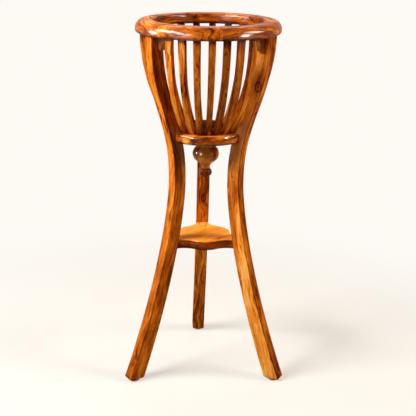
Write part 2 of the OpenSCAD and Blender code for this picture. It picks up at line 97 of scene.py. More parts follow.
# Mesh from rows of closed sections. Neighbouring points make quads that wrap round in the
# second direction, and the first and last row close by a fan to their middle point. Where the
# enclosed volume, the sum of a . (b x c), comes out negative, the faces are turned outwards.
def skinMesh(name, grid, attributes, paintedShading=0.0):
    rows, cols = grid.shape[:2]
    index = np.arange(rows * cols).reshape(rows, cols)
    beside = np.roll(index, -1, axis=1)
    quads = np.stack([index[:-1], beside[:-1], beside[1:], index[1:]], -1).reshape(-1, 4)
    points = np.concatenate([grid.reshape(-1, 3), grid[:1].mean(1), grid[-1:].mean(1)])
    low = np.stack([beside[0], index[0], np.full(cols, rows * cols)], -1)
    high = np.stack([index[-1], beside[-1], np.full(cols, rows * cols + 1)], -1)
    tris = np.concatenate([low, high])
    halves = np.concatenate([quads[:, [0, 1, 2]], quads[:, [0, 2, 3]], tris])
    a, b, c = (points[halves[:, i]] for i in range(3))
    if (a * np.cross(b, c)).sum() < 0:
        quads, tris = quads[:, ::-1], tris[:, ::-1]
    mesh = bpy.data.meshes.new(name)
    mesh.from_pydata(points.tolist(), [], quads.tolist() + tris.tolist())
    mesh.polygons.foreach_set("use_smooth", [True] * len(mesh.polygons))
    # the attribute "board" carries the board's tone plus the painted light and shade
    for key, values in {"board": boardToneAndShading(name, grid, paintedShading), **attributes}.items():
        ends = [values[:1].mean(1).reshape(1, -1), values[-1:].mean(1).reshape(1, -1)]
        flat = np.concatenate([values.reshape(rows * cols, -1), *ends])
        kind, field = ("FLOAT_VECTOR", "vector") if flat.shape[1] == 3 else ("FLOAT", "value")
        mesh.attributes.new(key, kind, "POINT").data.foreach_set(field, flat.ravel())
    mesh.update()
    piece = bpy.data.objects.new(name, mesh)
    bpy.context.collection.objects.link(piece)
    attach(piece, "root")
    return piece


# Section of a bar with rounded arrises, as six rows of numbers for its points: the signs of
# their corner, their direction from the arris's middle (cos a, sin a), and a small step back
# along the flat for the first and last point of each arris, which keeps the flats flat.
def barSection(steps, flatStep):
    corners = []
    for signX, signY, start in ((1, 1, 0), (-1, 1, 90), (-1, -1, 180), (1, -1, 270)):
        a = np.radians(start + np.linspace(0, 90, steps + 1))
        a = np.concatenate([a[:1], a, a[-1:]])
        back = np.zeros(len(a))
        back[[0, -1]] = -flatStep
        corners.append(np.stack([
            np.full(len(a), signX), np.full(len(a), signY), np.cos(a), np.sin(a),
            np.abs(np.sin(a)) * signX * back, np.abs(np.cos(a)) * signY * back,
        ]))
    return np.concatenate(corners, 1)


# 1 on a bar section's four arrises, 0 on its flats, and the share "meeting" where the two join.
def cornerShare(steps, meeting=0.4):
    return np.tile([0, meeting] + [1] * (steps - 1) + [meeting, 0], 4)


# Rows of such sections, with halfX, halfY and shift as arrays along the bar: each point is
# sign * (half size - radius) + radius * direction + step, moved by shift along x.
def barRows(section, radius, halfX, halfY, shift, along):
    signX, signY, towardX, towardY, stepX, stepY = section
    x = signX * (halfX[:, None] - radius) + radius * towardX + stepX + shift[:, None]
    y = signY * (halfY[:, None] - radius) + radius * towardY + stepY
    return np.stack([x, y, np.broadcast_to(along[:, None], x.shape)], -1)


# Tenons are given as depth, width and length. The shading tones are painted light and shade, added to
# the wood's at the heights "shadingHeights" on a leg's outer face and on its sides; edgeTone darkens the
# arrises.
leg = {
    "width": 0.031, "outTop": 0.166, "outWaist": 0.0985, "outFoot": 0.228,
    "inTop": 0.134, "inWaist": 0.0675, "inFoot": 0.188, "waistZ": 0.505, "flare": 1.53,
    "chamfer": 0.003, "chamferRow": 0.96, "arris": 0.0016, "arrisSteps": 4, "flatStep": 0.0012,
    "levels": 170, "tenon": (0.015, 0.018, 0.011), "rearLean": 0.014, "rearTenon": (0.015, 0.014, 0.012),
    "grainLine": (0.185, 0.1, 0.134), "curveShare": 0.72, "faceEdge": (-0.0012, -0.0004),
    "shadingHeights": (0.02, 0.12, 0.30, 0.50, 0.66, 0.76, 0.87),
    "outerShading": {
        "left": (-0.14, -0.10, -0.08, 0.0, 0.01, 0.08, 0.04),
        "right": (-0.20, -0.16, -0.11, -0.09, -0.06, -0.06, -0.10),
        "rear": (0.0, 0.04, 0.04, -0.03, -0.06, 0.0, 0.0),
    },
    "sideShading": {
        "left": (-0.06, 0.0, 0.02, -0.06, -0.18, -0.17, -0.20),
        "right": (0.0, -0.03, -0.05, 0.02, 0.14, 0.22, 0.15),
        "rear": (-0.06, 0.04, 0.04, -0.04, -0.07, 0.0, 0.0),
    },
    "edgeTone": -0.18, "sapSide": "right", "sapFrom": 0.53, "sapTo": 0.20, "noSap": -1.0,
}


# Radius of a leg's face at height z: above the waist, top and waist are mixed by the swing,
# and below it the face goes out with the power "flare" of the drop.
def legFace(z, top, waist, foot):
    up = waist + (top - waist) * swing(np.clip((z - leg["waistZ"]) / (seatZ - leg["waistZ"]), 0, 1))
    down = waist + (foot - waist) * np.clip((leg["waistZ"] - z) / leg["waistZ"], 0, 1) ** leg["flare"]
    return np.where(z > leg["waistZ"], up, down)


# A leg is a bar along +Z: its level section runs from the inner to the outer face, shrinks by the
# chamfer at the foot, and steps in to the tenon above its end. The side legs end at the ring. The
# rear one keeps its waist section, leans in by the same swing and ends under the base.
def buildLeg(name, seed):
    side = name.split("_")[1]
    rear = side == "rear"
    low, chamfer = stand["glideHeight"], leg["chamfer"]
    end = baseLowZ if rear else seatZ
    upward = np.linspace(low + chamfer, end, leg["levels"])
    z = np.concatenate([[low, low + chamfer * leg["chamferRow"]], upward])
    shrink = np.clip(1 - (z - low) / chamfer, 0, 1) * chamfer
    at = np.minimum(z, leg["waistZ"]) if rear else z
    t = np.clip((z - leg["waistZ"]) / (end - leg["waistZ"]), 0, 1)
    lean = leg["rearLean"] * swing(t) if rear else 0 * z
    outer = legFace(at, leg["outTop"], leg["outWaist"], leg["outFoot"]) - shrink - lean
    inner = legFace(at, leg["inTop"], leg["inWaist"], leg["inFoot"]) + shrink - lean
    halfX, shift, halfY = (outer - inner) / 2, (outer + inner) / 2, leg["width"] / 2 - shrink
    deep, wide, long = leg["rearTenon"] if rear else leg["tenon"]
    z = np.concatenate([z, [end, end + long]])
    halfX = np.concatenate([halfX, [deep / 2] * 2])
    halfY = np.concatenate([halfY, [wide / 2] * 2])
    shift = np.concatenate([shift, [shift[-1]] * 2])
    section = barSection(leg["arrisSteps"], leg["flatStep"])
    rows = barRows(section, leg["arris"], halfX, halfY, shift, z)
    # the grain follows the sawn curve for the most part and crosses it a little
    line = np.interp(z, [0, leg["waistZ"], seatZ], leg["grainLine"])
    across = rows[..., 0] - (leg["curveShare"] * shift + (1 - leg["curveShare"]) * line)[:, None]
    grain = np.stack([across, rows[..., 1], rows[..., 2]], -1)
    face = (shift + halfX)[:, None]
    outward = easeStep(rows[..., 0] - face, *leg["faceEdge"])
    # painted light and shade: each height's tone on the outer face and on the sides
    onOuter = np.interp(rows[..., 2], leg["shadingHeights"], leg["outerShading"][side])
    onSide = np.interp(rows[..., 2], leg["shadingHeights"], leg["sideShading"][side])
    paintedShading = onSide + (onOuter - onSide) * outward + leg["edgeTone"] * cornerShare(leg["arrisSteps"])
    # pale sapwood: from sapFrom down it covers more and more of the side, from the outer face inwards
    depth = (face - rows[..., 0]) / (2 * halfX[:, None])
    sap = (leg["sapFrom"] - rows[..., 2]) / (leg["sapFrom"] - leg["sapTo"]) - depth
    sap = np.where((outward <= 0.5) & (side == leg["sapSide"]), sap, leg["noSap"])
    attributes = {"grain": grain + seed, "sap": sap}
    return skinMesh(name, turned(rows, legAngles[side]), attributes, paintedShading)


# topGap is the clear way between leg and slat at the ring, footLap how far they lap at the base.
# topShade and footShade are painted shade just under the ring and just above the base.
slat = {
    "width": 0.0165, "footWidth": 0.013, "thickness": 0.013, "topRadius": 0.1575, "footRadius": 0.07191,
    "sweep": 1.185, "count": 7, "topGap": 0.037, "footLap": 0.004, "backEase": 0.5,
    "arris": 0.0012, "arrisSteps": 3, "flatStep": 0.0008, "levels": 46, "tenon": (0.0075, 0.0075, 0.010),
    "curveShare": 0.85, "edgeTone": -0.14,
    "topShade": -0.16, "topShadeReach": 0.035, "footShade": -0.10, "footShadeReach": 0.03,
}


# Angles of slat s at the ring and at the base. The front row is evenly spaced at both ends;
# the back rows are even at the ring, and at the base follow reach * sin(ease * angle). The
# clear angle beside a leg is asin(distance between middles / radius).
def slatAngles(row, s):
    count = slat["count"]
    topApart = (leg["width"] + slat["width"]) / 2 + slat["topGap"]
    footApart = (leg["width"] + slat["footWidth"]) / 2 - slat["footLap"]
    topClear = math.degrees(math.asin(topApart / slat["topRadius"]))
    footClear = math.degrees(math.asin(footApart / slat["footRadius"]))
    if row == "front":  # half the bay between the side legs is 60 degrees
        middle = s - (count + 1) / 2
        topStep, footStep = ((60 - clear) / (count - 1) * 2 for clear in (topClear, footClear))
        return -90 + middle * topStep, -90 + middle * footStep
    # the two back rows share one bay of 240 degrees, whose middle is behind
    turn = (s - count - 0.5 if row == "right" else s - 0.5) * (120 - topClear) / (count - 0.5)
    ease = slat["backEase"]
    reach = (120 - footClear) / math.sin(math.radians(ease * (120 - topClear)))
    return 90 + turn, 90 + reach * math.sin(math.radians(ease * turn))


# A slat stands in the upright plane through its foot and top points. Its middle line is a
# quarter of an ellipse that is upright at the ring: lean = 1 - sqrt(1 - (drop / height)^2). Its
# thickness is measured square to that line, so the level section is thickness * sqrt(1 + slope^2).
def buildSlat(name, row, s, seed):
    topAngle, footAngle = slatAngles(row, s)
    top, foot = polar(slat["topRadius"], topAngle), polar(slat["footRadius"], footAngle)
    reach = float(np.hypot(*(top - foot)))
    height = stand["basketHeight"] * slat["sweep"]
    z = np.linspace(baseZ, seatZ, slat["levels"])
    lean = 1 - np.sqrt(1 - ((seatZ - z) / height) ** 2)
    full = 1 - math.sqrt(1 - 1 / slat["sweep"] ** 2)
    middle = reach * (1 - lean / full)
    slope = reach / full * (seatZ - z) / height ** 2 / (1 - lean)
    halfX = slat["thickness"] / 2 * np.sqrt(1 + slope ** 2)
    halfY = np.interp(z, [baseZ, seatZ], [slat["footWidth"] / 2, slat["width"] / 2])
    deep, wide, long = slat["tenon"]
    z = np.concatenate([[baseZ - long, baseZ], z, [seatZ, seatZ + long]])
    middle = np.concatenate([[0, 0], middle, [reach, reach]])
    halfX = np.concatenate([[deep / 2] * 2, halfX, [deep / 2] * 2])
    halfY = np.concatenate([[wide / 2] * 2, halfY, [wide / 2] * 2])
    section = barSection(slat["arrisSteps"], slat["flatStep"])
    rows = barRows(section, slat["arris"], halfX, halfY, middle, z)
    across = rows[..., 0] - slat["curveShare"] * middle[:, None]
    grain = np.stack([across, rows[..., 1], rows[..., 2]], -1)
    way = math.degrees(math.atan2(*(top - foot)[::-1]))
    world = turned(rows, way) + np.array([foot[0], foot[1], 0])
    up = rows[..., 2]
    # painted shade just under the ring and just above the base, and darker arrises
    paintedShading = slat["topShade"] * easeStep(up, seatZ - slat["topShadeReach"], seatZ)
    paintedShading = paintedShading + slat["footShade"] * easeStep(-up, -baseZ - slat["footShadeReach"], -baseZ)
    paintedShading = paintedShading + slat["edgeTone"] * cornerShare(slat["arrisSteps"])
    return skinMesh(name, world, {"grain": grain + seed}, paintedShading)


# Quarter circle of a profile in (radius, z), anticlockwise from the angle start about (cr, cz):
# (cr + r cos a, cz + r sin a), with a small step beside each end that keeps the flats flat.
def quarterArc(cr, cz, r, start, steps=9, flatStep=0.0012):
    a = np.radians(start + np.linspace(0, 90, steps + 1))
    arc = np.stack([cr + r * np.cos(a), cz + r * np.sin(a)], -1)
    first = arc[0] + flatStep * np.array([math.sin(a[0]), -math.cos(a[0])])
    last = arc[-1] + flatStep * np.array([-math.sin(a[-1]), math.cos(a[-1])])
    return np.array([first, *arc, last])


# The rebate reaches from the hole to the radius "rebate". Painted shade darkens the hole and the underside.
ring = {
    "outer": 0.175, "width": 0.0445, "topRound": 0.0195, "lowRound": 0.0055,
    "holeTopRound": 0.007, "holeLowRound": 0.006, "rebate": 0.167, "rebateEase": 0.0006,
    "segments": 6, "firstJoint": 97, "gap": 0.00012, "steps": 32, "endSteps": (0.0006, 0.0012, 0.003),
    "holeShade": -0.10, "holeShadeFrom": 0.1335, "holeShadeTo": 0.1315,
    "underShade": -0.14, "underShadeReach": 0.010,
}


# A ring segment is a section of four arcs and the rebate's corners, carried round 60 degrees:
# (r cos a, r sin a, z). Its grain runs along its chord, and "joint" is the way to its nearer end.
def buildRingSegment(k, seed):
    share = 360 / ring["segments"]
    start = ring["firstJoint"] + share * k
    outer, hole, top = ring["outer"], ring["outer"] - ring["width"], stand["height"]
    lowRound, topRound = ring["lowRound"], ring["topRound"]
    holeTop, holeLow = ring["holeTopRound"], ring["holeLowRound"]
    lip, ease = ring["rebate"], ring["rebateEase"]
    section = np.concatenate([
        quarterArc(outer - lowRound, ringZ + lowRound, lowRound, 270),
        quarterArc(outer - topRound, top - topRound, topRound, 0),
        quarterArc(hole + holeTop, top - holeTop, holeTop, 90),
        quarterArc(hole + holeLow, seatZ + holeLow, holeLow, 180),
        [[lip - ease, seatZ], [lip, seatZ - ease], [lip, ringZ + ease], [lip + ease, ringZ]],
    ])
    gap = math.degrees(ring["gap"] / outer)
    near = np.degrees(np.array(ring["endSteps"]) / outer)
    between = np.linspace(0, share, ring["steps"])[1:-1]
    steps = np.concatenate([[gap], gap + near, between, share - gap - near[::-1], [share - gap]])
    a = np.radians(steps - share / 2)[:, None]
    r, z = section[None, :, 0] + 0 * a, section[None, :, 1] + 0 * a
    rows = np.stack([r * np.cos(a), r * np.sin(a), z], -1)
    grain = np.stack([rows[..., 0] - outer, z - ringZ, rows[..., 1]], -1)
    joint = np.minimum(steps, share - steps)[:, None] * math.pi / 180 * r
    # painted shade in the hole and on the underside
    paintedShading = ring["holeShade"] * easeStep(-r, -ring["holeShadeFrom"], -ring["holeShadeTo"])
    paintedShading = paintedShading + ring["underShade"] * easeStep(-z, -ringZ - ring["underShadeReach"], -ringZ)
    name = "ring_segment_%d_wood" % (k + 1)
    attributes = {"grain": grain + seed, "joint": joint}
    return skinMesh(name, turned(rows, start + share / 2), attributes, paintedShading)


# Profile points (radius, z) carried once round the axis: (r cos a, r sin a, z).
def carriedRound(profile, around):
    a = np.linspace(0, 2 * math.pi, around, endpoint=False)[None, :]
    r, z = profile[:, 0][:, None], profile[:, 1][:, None]
    return np.stack([r * np.cos(a), r * np.sin(a), z + 0 * a], -1)


# Grain of a board that lies level, at an angle from +X: (z, across, along).
def levelGrain(rows, angle):
    flat = turned(rows, -angle)
    return np.stack([flat[..., 2], flat[..., 1], flat[..., 0]], -1)


# Inside the radius "worn" the varnish on the base's top stays thin and the top is painted darker
# as shade. Rings are rows on its flats.
base = {
    "radius": 0.09791, "thickness": 0.024, "topRound": 0.006, "lowRound": 0.0075, "grainTurn": 12,
    "rings": 12, "firstRing": 0.004, "lastRing": 0.002, "around": 160,
    "worn": 0.090, "insideShade": -0.36, "insideShadeFull": 0.070,
}
baseLowZ = baseZ - base["thickness"]


# The base is turned from a board: flat below and above, with a quarter circle at each edge.
def buildBase(seed):
    radius, lowRound, topRound = base["radius"], base["lowRound"], base["topRound"]
    edge = np.concatenate([quarterArc(radius - lowRound, baseLowZ + lowRound, lowRound, 270),
                           quarterArc(radius - topRound, baseZ - topRound, topRound, 0)])
    flats = np.linspace(base["firstRing"], edge[0, 0] - base["lastRing"], base["rings"])
    under = np.stack([flats, np.full(len(flats), baseLowZ)], -1)
    over = np.stack([flats[::-1], np.full(len(flats), baseZ)], -1)
    profile = np.concatenate([under, edge, over])
    rows = carriedRound(profile, base["around"])
    # painted shade: the base's top darker inside the slats
    inside = easeStep(-profile[:, 0], -base["worn"], -base["insideShadeFull"])
    paintedShading = base["insideShade"] * (inside * (profile[:, 1] > baseZ - hair))[:, None]
    grain = levelGrain(rows, base["grainTurn"]) + seed
    return skinMesh("basket_base_wood", rows, {"grain": grain}, paintedShading)


# The floor of the basket has its own finish: faces of the top whose middle lies inside "worn".
def wearInside(piece, finish):
    piece.data.materials.append(finish)
    centres = np.zeros(len(piece.data.polygons) * 3)
    piece.data.polygons.foreach_get("center", centres)
    centres = centres.reshape(-1, 3)
    inside = (np.hypot(centres[:, 0], centres[:, 1]) < base["worn"]) & (centres[:, 2] > baseZ - hair)
    piece.data.polygons.foreach_set("material_index", inside.astype(np.int32))
    return piece


# Widths are diameters. A turned solid starts beside the axis, at the radius "pole", and tipOpen
# is the angle that the tip's ellipse leaves open at its end.
finial = {
    "collar": 0.045, "collarHeight": 0.0215, "bulb": 0.066, "bulbHeight": 0.052, "lip": 0.030,
    "lipHeight": 0.003, "neck": 0.019, "neckHeight": 0.011, "tip": 0.032, "tipHeight": 0.026,
    "tenon": 0.018, "tenonLength": 0.015, "spigot": 0.008, "spigotLength": 0.012, "neckSeat": 0.012,
    "pole": 0.0005, "collarEase": 0.001, "collarLow": 0.96, "lipOut": 0.0003, "lipTop": 0.0008,
    "lipLow": 0.8, "hollow": 0.8, "neckEase": 0.0005, "tipOpen": 0.02,
    "ballSteps": 40, "hollowSteps": 12, "around": 120,
}


# Height above an ellipsoid's middle at which it has the diameter d: high / 2 * sqrt(1 - (d / wide)^2).
def ellipseCut(d, wide, high):
    return high / 2 * math.sqrt(1 - (d / wide) ** 2)


collarLowZ = baseLowZ - finial["collarHeight"]
bulbZ = collarLowZ - ellipseCut(finial["collar"], finial["bulb"], finial["bulbHeight"])
lipZ = bulbZ - ellipseCut(finial["lip"], finial["bulb"], finial["bulbHeight"])
neckZ = lipZ - finial["lipHeight"] - finial["neckHeight"]
tipZ = neckZ - ellipseCut(finial["neck"], finial["tip"], finial["tipHeight"])


# The bulb, from its tenon down: collar, ellipse r = R cos a, z = H sin a, lip, and a neck that
# hollows in by the power "hollow" of a sine.
def buildFinialBulb(seed):
    f = finial
    a = np.linspace(math.acos(f["collar"] / f["bulb"]), -math.acos(f["lip"] / f["bulb"]), f["ballSteps"])
    ball = np.stack([f["bulb"] / 2 * np.cos(a), bulbZ + f["bulbHeight"] / 2 * np.sin(a)], -1)
    t = np.linspace(0, 1, f["hollowSteps"])
    neckR = f["lip"] / 2 + (f["neck"] - f["lip"]) / 2 * np.sin(t * math.pi / 2) ** f["hollow"]
    neck = np.stack([neckR, lipZ - f["lipHeight"] - f["neckHeight"] * t], -1)
    head = [
        [f["pole"], baseLowZ + f["tenonLength"]], [f["tenon"] / 2, baseLowZ + f["tenonLength"]],
        [f["tenon"] / 2, baseLowZ + hair], [f["collar"] / 2 - f["collarEase"], baseLowZ],
        [f["collar"] / 2, baseLowZ - f["collarEase"]],
        [f["collar"] / 2, baseLowZ - f["collarHeight"] * f["collarLow"]],
    ]
    lipR = f["lip"] / 2 + f["lipOut"]
    lip = [[lipR, lipZ - f["lipTop"]], [lipR, lipZ - f["lipHeight"] * f["lipLow"]]]
    end = [[f["neckSeat"] / 2, neckZ], [f["pole"], neckZ]]
    rows = carriedRound(np.concatenate([head, ball, lip, neck, end]), f["around"])
    return skinMesh("finial_bulb_wood", rows, {"grain": rows + seed})


# The tip is an ellipsoid, r = R cos a, z = H sin a, cut flat at the neck, with its spigot on top.
def buildFinialTip(seed):
    f = finial
    a = np.linspace(math.acos(f["neck"] / f["tip"]), -math.pi / 2 + f["tipOpen"], f["ballSteps"])
    ball = np.stack([f["tip"] / 2 * np.cos(a), tipZ + f["tipHeight"] / 2 * np.sin(a)], -1)
    head = [
        [f["pole"], neckZ + f["spigotLength"]], [f["spigot"] / 2, neckZ + f["spigotLength"]],
        [f["spigot"] / 2, neckZ + hair], [f["neck"] / 2 - f["neckEase"], neckZ],
    ]
    rows = carriedRound(np.concatenate([head, ball]), f["around"])
    return skinMesh("finial_tip_wood", rows, {"grain": rows + seed})


# Rings are rows on the shelf's flats, as shares of the way out from its middle. The edge tone
# is painted shade on the shelf's edge and underside.
shelf = {
    "top": 0.361, "thickness": 0.023, "reach": 0.069, "bowWidth": 0.056, "bowRise": 0.009,
    "cove": 0.004, "armWidth": 0.028, "letIn": 0.010, "arris": 0.0022, "grainTurn": 38,
    "sides": (-90, 30, 150), "halfSide": 60, "coveSteps": 10, "bowSteps": 20, "edgePoints": 420,
    "arrisSteps": 4, "rings": (0.02, 0.25, 0.5, 0.75, 0.93), "ringInset": 0.0015, "flatStep": 0.0012,
    "edgeTone": -0.48, "edgeToneFrom": 0.0004, "edgeToneFull": 0.003,
}


# Points of a circular arc from p to q that stands out by rise to the right of the way; its
# radius is (chord^2 / 4 + rise^2) / (2 rise).
def bowArc(p, q, rise, steps):
    p, q = np.array(p), np.array(q)
    chord = np.hypot(*(q - p))
    r = (chord ** 2 / 4 + rise ** 2) / (2 * abs(rise))
    half = math.asin(chord / 2 / r)
    along = (q - p) / chord
    side = np.array([along[1], -along[0]]) * np.sign(rise)
    a = half * np.linspace(-1, 1, steps + 1)[:, None]
    return (p + q) / 2 + along * r * np.sin(a) + side * (r * np.cos(a) - r * math.cos(half))


# Outline of the shelf: the same side three times, each a cove, a bow and a cove between arms
# that stand "halfSide" degrees from its middle.
def shelfOutline():
    s = shelf
    atLeg = float(legFace(np.array(s["top"]), leg["inTop"], leg["inWaist"], leg["inFoot"]))
    low = polar(atLeg + s["letIn"], -s["halfSide"]) + polar(s["armWidth"] / 2, 90 - s["halfSide"])
    neck = low - polar(s["letIn"], -s["halfSide"])
    cusp = np.array([s["reach"] - s["bowRise"], s["bowWidth"] / 2])
    mirror = [1, -1]
    side = np.concatenate([
        [low], bowArc(neck, cusp * mirror, -s["cove"], s["coveSteps"]),
        bowArc(cusp * mirror, cusp, s["bowRise"], s["bowSteps"])[1:],
        bowArc(cusp, neck * mirror, -s["cove"], s["coveSteps"])[1:], [low * mirror],
    ])
    flat = np.concatenate([side, np.zeros((len(side), 1))], 1)
    return np.concatenate([turned(flat, angle)[:, :2] for angle in s["sides"]])


# The outline resampled evenly, then rows: underside rings, rounded arrises and top rings.
# Each point moves inwards along the outline's normal by arris * (1 - cos a).
def buildShelf(seed):
    s = shelf
    line = shelfOutline()
    closed = np.concatenate([line, line[:1]])
    length = np.concatenate([[0], np.cumsum(np.hypot(*np.diff(closed, axis=0).T))])
    marks = np.linspace(0, length[-1], s["edgePoints"], endpoint=False)
    edge = np.stack([np.interp(marks, length, closed[:, i]) for i in (0, 1)], -1)
    ahead, back = np.roll(edge, -1, axis=0), np.roll(edge, 1, axis=0)
    along = (ahead - back) / np.hypot(*(ahead - back).T)[:, None]
    normal = np.stack([along[:, 1], -along[:, 0]], -1)
    top, low, r = s["top"], s["top"] - s["thickness"], s["arris"]
    beside = edge - normal * (r + s["flatStep"])
    within = edge - normal * (r + s["ringInset"])
    angles = np.radians(np.linspace(0, 90, s["arrisSteps"] + 1))
    arris = [(edge - normal * (r - r * math.cos(a)), r - r * math.sin(a)) for a in angles]
    levels = [(within * share, low) for share in s["rings"]] + [(beside, low)]
    levels += [(points, low + drop) for points, drop in arris[::-1]]
    levels += [(points, top - drop) for points, drop in arris]
    levels += [(beside, top)] + [(within * share, top) for share in s["rings"][::-1]]
    grid = np.stack([np.column_stack([points, np.full(len(points), z)]) for points, z in levels])
    # painted shade: darker on the edge and underside, below the top
    paintedShading = s["edgeTone"] * easeStep(-grid[..., 2], -top + s["edgeToneFrom"], -top + s["edgeToneFull"])
    grain = levelGrain(grid, s["grainTurn"]) + seed
    return skinMesh("shelf_wood", grid, {"grain": grain}, paintedShading)


glide = {
    "diameter": 0.025, "radius": 0.20607, "round": 0.0014, "roundSteps": 5, "headHole": 0.0073,
    "recess": 0.002, "ease": 0.0004, "around": 48,
}


# A glide is turned too: flat top, quarter circle at the lower edge and a dish for the nail's head.
def buildGlide(name):
    g, high = glide, stand["glideHeight"]
    half, hole, ease = g["diameter"] / 2, g["headHole"] / 2, g["ease"]
    a = np.radians(np.linspace(0, -90, g["roundSteps"] + 1))
    edge = np.stack([half - g["round"] + g["round"] * np.cos(a), g["round"] + g["round"] * np.sin(a)], -1)
    profile = np.concatenate([
        [[ease, high], [half - ease, high], [half, high - ease]], edge,
        [[hole + ease, 0], [hole, ease], [hole, g["recess"]], [ease, g["recess"]]],
    ])
    rows = carriedRound(profile, g["around"]) + np.array([g["radius"], 0, 0])
    return skinMesh(name + "_rubber", turned(rows, legAngles[name.split("_")[1]]), {})


# Empties the nodes of a material or world; gives its tree and the input for its shader.
def blankTree(owner, kind="ShaderNodeOutputMaterial"):
    owner.use_nodes = True
    owner.node_tree.nodes.clear()
    return owner.node_tree, owner.node_tree.nodes.new(kind).inputs[0]


# A new node: in its inputs, by place or name, a socket is linked and a number or colour is set.
def wire(tree, kind, inputs, out=0, **settings):
    node = tree.nodes.new(kind)
    for key, value in settings.items():
        setattr(node, key, value)
    for key, value in inputs.items():
        if isinstance(value, bpy.types.NodeSocket):
            tree.links.new(value, node.inputs[key])
        else:
            node.inputs[key].default_value = value
    return node.outputs[out]


# One operation on a, b and c, such as a * b, the larger of a and b, or a * b + c.
def calc(tree, operation, a, b=0.0, c=0.0):
    return wire(tree, "ShaderNodeMath", {0: a, 1: b, 2: c}, operation=operation)


# One operation on two vectors, such as a - b, or a * b in each of their three numbers.
def calcVector(tree, operation, a, b):
    return wire(tree, "ShaderNodeVectorMath", {0: a, 1: b}, operation=operation)


# toLow below the value low, toHigh above the value high, and 3t^2 - 2t^3 of the way in between.
def smoothRange(tree, value, low, high, toLow=0.0, toHigh=1.0):
    return wire(tree, "ShaderNodeMapRange", {0: value, 1: low, 2: high, 3: toLow, 4: toHigh},
                interpolation_type="SMOOTHSTEP")


# The other way round: start below the value low and 0 above the value high.
def fading(tree, value, low, high, start=1.0):
    return smoothRange(tree, value, low, high, start, 0.0)


# Noise between 0 and 1 at a vector: detail adds octaves, each rough times as strong as the last.
def noiseAt(tree, vector, detail, rough, scale=1.0):
    inputs = {"Vector": vector, "Scale": scale, "Detail": detail, "Roughness": rough}
    return wire(tree, "ShaderNodeTexNoise", inputs)


# Colour a * (1 - factor) + b * factor.
def mixColour(tree, factor, a, b):
    return wire(tree, "ShaderNodeMix", {0: factor, 6: a, 7: b}, out=2, data_type="RGBA")


# The vector (x, y, z) from three numbers.
def combine(tree, x, y, z):
    return wire(tree, "ShaderNodeCombineXYZ", {0: x, 1: y, 2: z})


# The three numbers of a vector.
def split(tree, vector):
    node = tree.nodes.new("ShaderNodeSeparateXYZ")
    tree.links.new(vector, node.inputs[0])
    return node.outputs


# A mesh attribute: its number, or with out 1 its vector.
def attributeOf(tree, key, out=2):
    return wire(tree, "ShaderNodeAttribute", {}, out=out, attribute_name=key)


# Object coordinates: a point's place (x, y, z) in metres.
def objectPlace(tree):
    return wire(tree, "ShaderNodeTexCoord", {}, out=3)


# Length of a vector: sqrt(x^2 + y^2 + z^2).
def lengthOf(tree, vector):
    return wire(tree, "ShaderNodeVectorMath", {0: vector}, out=1, operation="LENGTH")


# Colour stops of the wood from its darkest veins to its palest sapwood, each with its place,
# and the shares that bands, clouds, streaks, pores, lines, flecks, veins, knots, sapwood and
# joints have in its tone. Widths, gaps and bends are in millimetres, and runs are per
# millimetre along the grain. A finish names only what it changes.
wood = {
    "stops": (
        (0.00, (0.020, 0.0028, 0.0002)), (0.22, (0.095, 0.014, 0.0003)), (0.40, (0.290, 0.052, 0.0008)),
        (0.56, (0.585, 0.143, 0.0045)), (0.72, (0.820, 0.265, 0.0220)), (0.90, (0.945, 0.455, 0.1050)),
    ),
    "tone": 0.56, "bands": 0.80, "clouds": 1.05, "streaks": 0.60, "pores": 0.20, "lines": 0.22,
    "flecks": 0.30, "veins": 0.22, "knots": 0.34, "sapwood": 0.0, "joints": 0.0, "marks": (),
    "pith": (-46, 27), "bandWidth": 9.0, "streakWidth": 2.6, "lineGap": 7.0,
    "slowBend": 34.0, "quickBend": 5.0, "knotBend": 9.0,
    "bandRun": 0.004, "bandCut": 3.3, "streakRun": 0.009, "streakDrift": 0.03, "sapWander": 0.5,
    "coat": 0.2, "coatIndex": 1.5, "coatRough": 0.22, "woodIndex": 1.45,
    "rough": 0.5, "smoother": 0.05, "rougher": 0.08, "poreDepth": -0.5, "streakDepth": -0.2,
    "bump": 0.06, "bumpDepth": 0.0003,
}

# Noises of the grain: scale across and along it per millimetre, detail and roughness. The
# bands and streaks follow the growth layers instead, so they have only the last two.
grainNoises = {
    "slow": (0.020, 0.0060, 2.0, 0.5), "quick": (0.085, 0.024, 2.0, 0.5),
    "cloud": (0.060, 0.0150, 3.0, 0.55), "pores": (1.7, 0.09, 1.0, 0.5),
    "fleck": (0.60, 0.055, 0.0, 0.5), "patch": (0.045, 0.012, 1.0, 0.5),
}
layerNoises = {"band": (1.5, 0.5), "streak": (2.0, 0.55)}

# Where each feature begins and ends, on the noise or the distance that draws it.
limits = {
    "line": (0.02, 0.09), "linePatch": (0.46, 0.62), "fleck": (0.70, 0.78), "veinStreak": (0.32, 0.40),
    "veinCloud": (0.38, 0.52), "sapBorder": (-0.06, 0.05), "joint": (0.0003, 0.0009), "rough": (0.3, 0.7),
}

# A knot, in its own radii: dark rim, heart and swirl of the grain round it; it is longer upwards.
knotShape = {
    "rimIn": (0.66, 0.86), "rimOut": (1.0, 1.25), "heart": (0.10, 0.32), "heartShare": 0.8,
    "swirl": (0.6, 4.0), "upright": 0.62,
}


